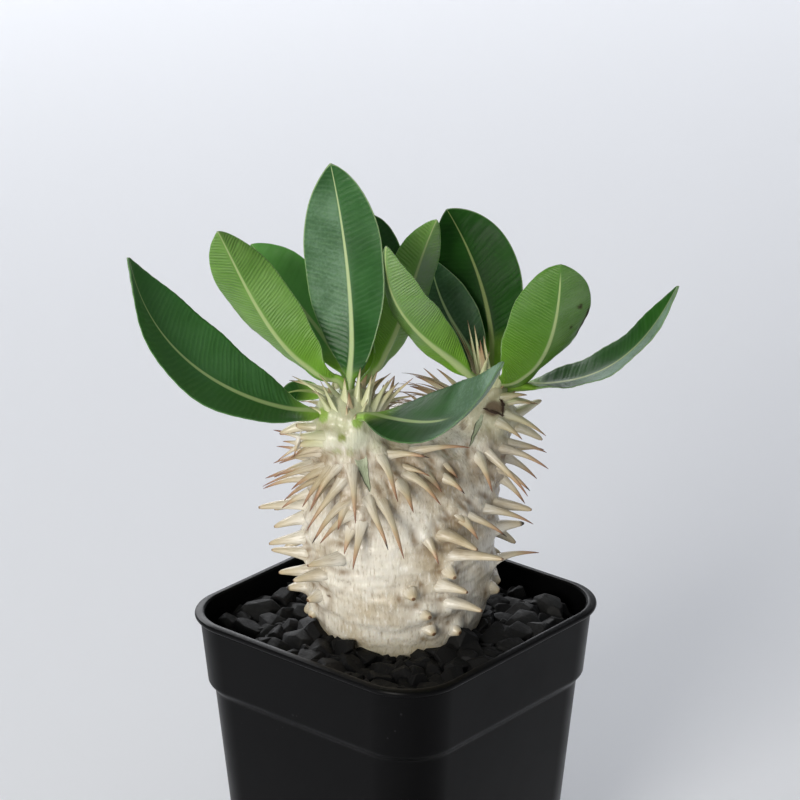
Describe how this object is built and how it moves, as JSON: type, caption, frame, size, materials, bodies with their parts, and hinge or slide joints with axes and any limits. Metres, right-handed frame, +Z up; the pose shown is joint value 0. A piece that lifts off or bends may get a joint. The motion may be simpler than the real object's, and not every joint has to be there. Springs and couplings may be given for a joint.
{
  "type": "potted pachypodium",
  "caption": "Small potted succulent: a swollen, spiny, two-headed trunk with tufts of broad leaves, standing in black gravel in a square nursery pot.",
  "frame": {"origin": "centre of the pot's base, on the surface that it stands on", "axes": "+Z up along the pot's axis, X and Y across the pot's flat sides; the plant's own front is turned 40 degrees from -Y towards +X, as it is potted"},
  "size_m": [0.1013, 0.1263, 0.2207],
  "materials": {
    "black_plastic": "satin, injection moulded",
    "potting_mix": "rough, crumbly",
    "black_gravel": "matte, angular",
    "silver_bark": "smooth, satin",
    "leaf": "leathery, half gloss"
  },
  "bodies": {
    "root": {"pot": "black_plastic", "potting_mix": "potting_mix", "gravel": "black_gravel", "caudex": "silver_bark", "leaf_left_low": "leaf", "leaf_left_pale": "leaf", "leaf_left_rear": "leaf", "leaf_left_tall": "leaf", "leaf_left_front": "leaf", "leaf_left_back": "leaf", "leaf_left_inner": "leaf", "leaf_left_small": "leaf", "leaf_right_inner": "leaf", "leaf_right_back": "leaf", "leaf_right_pale": "leaf", "leaf_right_long": "leaf", "leaf_right_dark": "leaf"}
  },
  "joints": []
}
